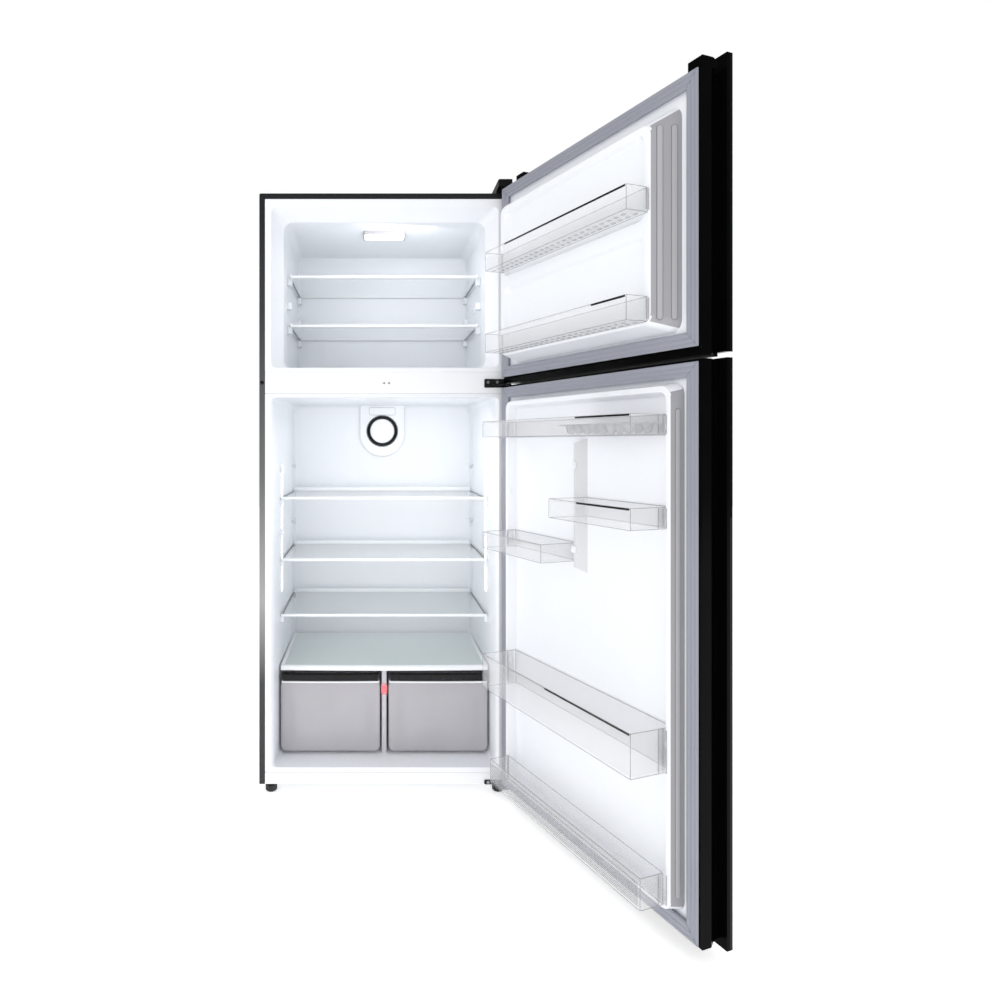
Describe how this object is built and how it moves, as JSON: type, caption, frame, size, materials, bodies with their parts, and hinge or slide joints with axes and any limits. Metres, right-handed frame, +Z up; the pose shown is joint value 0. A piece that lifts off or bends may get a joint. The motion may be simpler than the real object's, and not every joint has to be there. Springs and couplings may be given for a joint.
{
  "type": "top freezer refrigerator",
  "caption": "Free-standing refrigerator with a freezer above and a fridge below, both doors open, glass shelves, clear door bins and two crisper drawers.",
  "frame": {"origin": "on the floor, under the middle of the front edge of the cabinet", "axes": "+Z up, +Y from the front of the cabinet to its back, +X to the right for a person facing it; the doors open at -Y"},
  "size_m": [0.9933, 1.2694, 1.715],
  "materials": {
    "shell_paint": "satin",
    "zinc_sheet": "satin",
    "foam": "matte",
    "liner_white": "satin",
    "trim_white": "satin",
    "hinge_paint": "satin",
    "pin_steel": "polished",
    "screw_steel": "satin",
    "black_plastic": "gloss",
    "foot_plastic": "matte",
    "outlet_ring": "polished",
    "lens": "gloss",
    "shelf_glass": "gloss",
    "frosted_glass": "gloss",
    "clear_plastic": "gloss",
    "drawer_plastic": "gloss",
    "aluminium": "satin",
    "fan_plastic": "matte",
    "motor_metal": "satin",
    "compressor_paint": "satin",
    "rubber_black": "matte",
    "door_glass": "gloss",
    "door_frame": "gloss",
    "gasket_rubber": "satin",
    "bush_plastic": "satin"
  },
  "bodies": {
    "cabinet": {"air_outlet_disc": "trim_white", "air_outlet_ring": "outlet_ring", "back_panel": "zinc_sheet", "base_pan": "zinc_sheet", "bottom_hinge_bracket": "hinge_paint", "cabinet_foam": "foam", "centre_hinge_bracket": "hinge_paint", "centre_rail_cover": "trim_white", "compressor": "compressor_paint", "compressor_mounts": "rubber_black", "crisper_cover_frame": "trim_white", "crisper_cover_glass": "frosted_glass", "crisper_divider": "trim_white", "duct_housing": "trim_white", "evaporator": "aluminium", "fan_motor": "motor_metal", "freezer_back_cover": "trim_white", "freezer_liner": "liner_white", "freezer_shelves": "shelf_glass", "fridge_liner": "liner_white", "fridge_shelves": "shelf_glass", "front_base_panel": "trim_white", "hinge_pins": "pin_steel", "hinge_screws": "screw_steel", "lamp_lens": "lens", "mains_cord_gland": "rubber_black", "outer_shell": "shell_paint", "rear_bay_cover": "black_plastic", "shelf_trims": "trim_white", "side_lights": "lens", "top_hinge_bracket": "hinge_paint", "top_hinge_cover": "black_plastic"},
    "freezer_door": {"freezer_door_bins": "clear_plastic", "freezer_door_bushes": "bush_plastic", "freezer_door_foam": "foam", "freezer_door_frame": "door_frame", "freezer_door_gasket": "gasket_rubber", "freezer_door_liner": "liner_white", "freezer_door_panel": "door_glass"},
    "fridge_door": {"fridge_door_bushes": "bush_plastic", "fridge_door_foam": "foam", "fridge_door_frame": "door_frame", "fridge_door_gasket": "gasket_rubber", "fridge_door_liner": "liner_white", "fridge_door_panel": "door_glass", "egg_bin": "clear_plastic", "egg_tray": "clear_plastic", "short_bin_left": "clear_plastic", "short_bin_right": "clear_plastic", "bottle_bin": "clear_plastic", "bottom_bin": "clear_plastic"},
    "left_crisper": {"crisper_drawer_left": "drawer_plastic", "drawer_handle_left": "black_plastic"},
    "right_crisper": {"crisper_drawer_right": "drawer_plastic", "drawer_handle_right": "black_plastic"},
    "fan": {"evaporator_fan": "fan_plastic"},
    "left_roller": {"rear_roller_left": "foot_plastic"},
    "right_roller": {"rear_roller_right": "foot_plastic"},
    "left_foot": {"levelling_foot_left": "foot_plastic"},
    "right_foot": {"levelling_foot_right": "foot_plastic"}
  },
  "joints": [
    {"name": "freezer_door_hinge", "type": "hinge", "parent": "cabinet", "child": "freezer_door", "pos_m": [0.34, -0.02, 1.41], "axis": [0, 0, 1], "range_deg": [-111, 14]},
    {"name": "fridge_door_hinge", "type": "hinge", "parent": "cabinet", "child": "fridge_door", "pos_m": [0.34, -0.02, 0.6], "axis": [0, 0, 1], "range_deg": [-111, 14]},
    {"name": "left_crisper_slide", "type": "slide", "parent": "cabinet", "child": "left_crisper", "axis": [0, -1, 0], "range_m": [0, 0.24]},
    {"name": "right_crisper_slide", "type": "slide", "parent": "cabinet", "child": "right_crisper", "axis": [0, -1, 0], "range_m": [0, 0.18]},
    {"name": "fan_spin", "type": "hinge", "parent": "cabinet", "child": "fan", "pos_m": [0, 0.472, 1.505], "axis": [0, 1, 0], "continuous": true},
    {"name": "left_roller_spin", "type": "hinge", "parent": "cabinet", "child": "left_roller", "pos_m": [-0.3, 0.56, 0.014], "axis": [1, 0, 0], "continuous": true},
    {"name": "right_roller_spin", "type": "hinge", "parent": "cabinet", "child": "right_roller", "pos_m": [0.3, 0.56, 0.014], "axis": [1, 0, 0], "continuous": true},
    {"name": "left_foot_turn", "type": "hinge", "parent": "cabinet", "child": "left_foot", "pos_m": [-0.32, 0.03, 0.03], "axis": [0, 0, 1], "continuous": true},
    {"name": "right_foot_turn", "type": "hinge", "parent": "cabinet", "child": "right_foot", "pos_m": [0.32, 0.03, 0.03], "axis": [0, 0, 1], "continuous": true}
  ]
}
